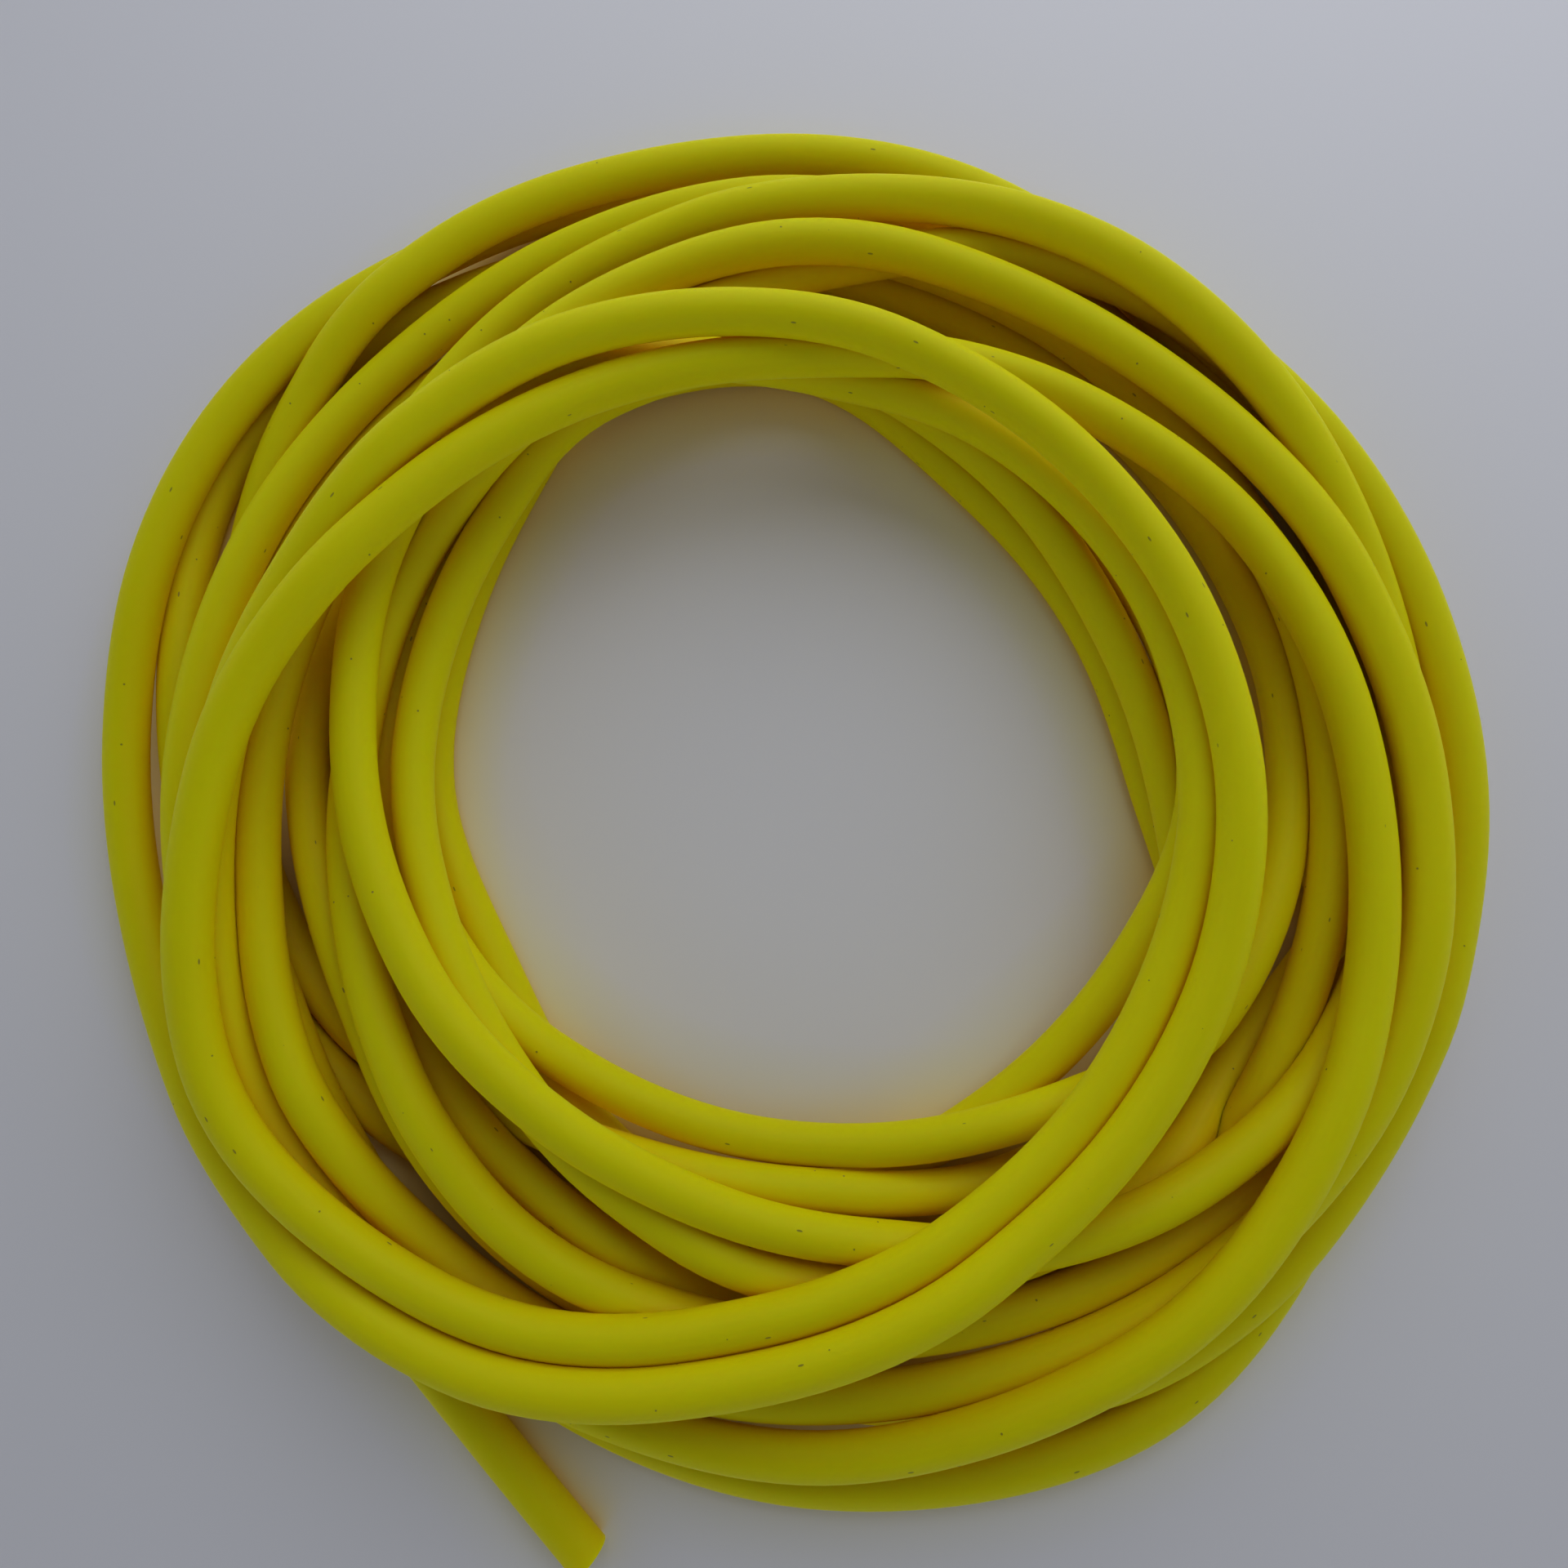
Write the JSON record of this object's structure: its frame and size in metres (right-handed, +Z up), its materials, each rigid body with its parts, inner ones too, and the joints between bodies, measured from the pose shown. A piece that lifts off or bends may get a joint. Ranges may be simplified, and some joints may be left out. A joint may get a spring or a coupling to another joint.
{
  "type": "coiled tubing",
  "caption": "Loose untied coil of thin soft hollow tubing with one short square-cut free end, lying flat in a low ring-shaped pile.",
  "frame": {"origin": "middle of the whole part's footprint, on the surface that the coil lies on", "axes": "+Z up from that surface; the free end leaves the coil towards -Y and points towards +X -Y"},
  "size_m": [0.1703, 0.1824, 0.024],
  "materials": {
    "tubing": "matte lemon-yellow soft elastomer"
  },
  "bodies": {
    "root": {"coil": "tubing", "free_end": "tubing"}
  },
  "joints": []
}
